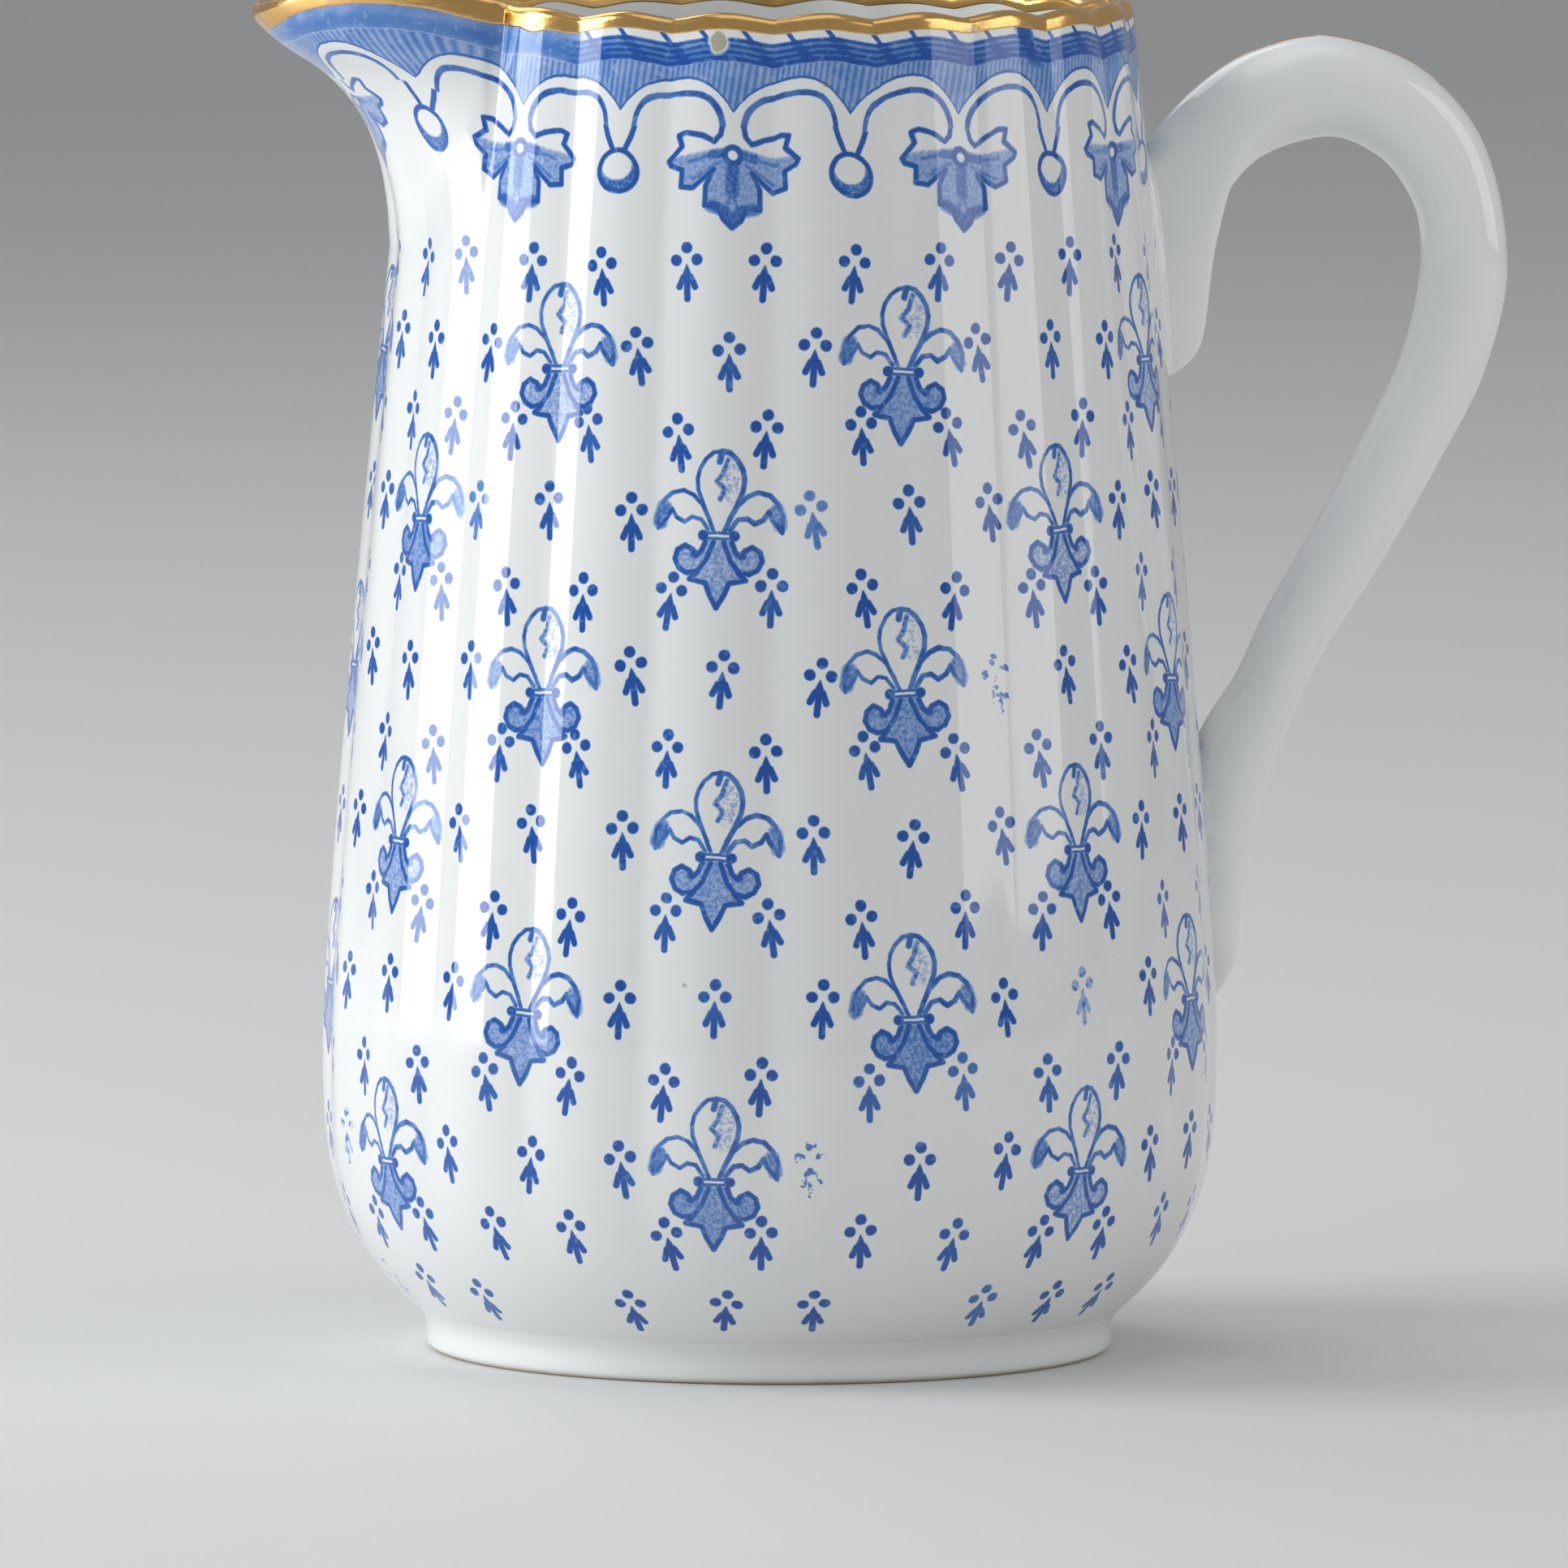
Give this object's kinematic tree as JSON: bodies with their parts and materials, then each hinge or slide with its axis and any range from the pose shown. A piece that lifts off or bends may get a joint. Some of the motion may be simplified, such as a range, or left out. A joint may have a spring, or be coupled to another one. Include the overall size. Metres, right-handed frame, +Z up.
{
  "type": "porcelain cream jug",
  "caption": "Tall fluted china cream jug with a pouring lip, a loop handle and a gilt rim over a blue printed border and scattered lily motifs.",
  "frame": {"origin": "middle of the foot ring's resting face, on the body's axis", "axes": "+Z up along the body's axis; the pouring lip points along -X and the handle along +X, so +Y runs across the jug"},
  "size_m": [0.1031, 0.073, 0.1123],
  "materials": {
    "glazed_body": "white bone china under a clear glossy glaze, with a blue underglaze print",
    "glazed_lip": "white bone china under a clear glossy glaze, with a blue underglaze print",
    "glazed_floor": "white bone china under a clear glossy glaze",
    "glazed_handle": "white bone china under a clear glossy glaze",
    "glazed_slip": "slip joint under the same clear glossy glaze",
    "unglazed_foot": "glazed sides and a ground, slightly rough tread",
    "rim_gold": "fired liquid gold, bright and slightly worn",
    "handle_gold": "fired gold, worn almost away"
  },
  "bodies": {
    "root": {"body_wall": "glazed_body", "base_floor": "glazed_floor", "foot_ring": "unglazed_foot", "pouring_lip": "glazed_lip", "loop_handle": "glazed_handle", "upper_slip_joint": "glazed_slip", "lower_slip_joint": "glazed_slip", "rim_gilding": "rim_gold", "lip_gilding": "rim_gold", "handle_gilding": "handle_gold"}
  },
  "joints": []
}
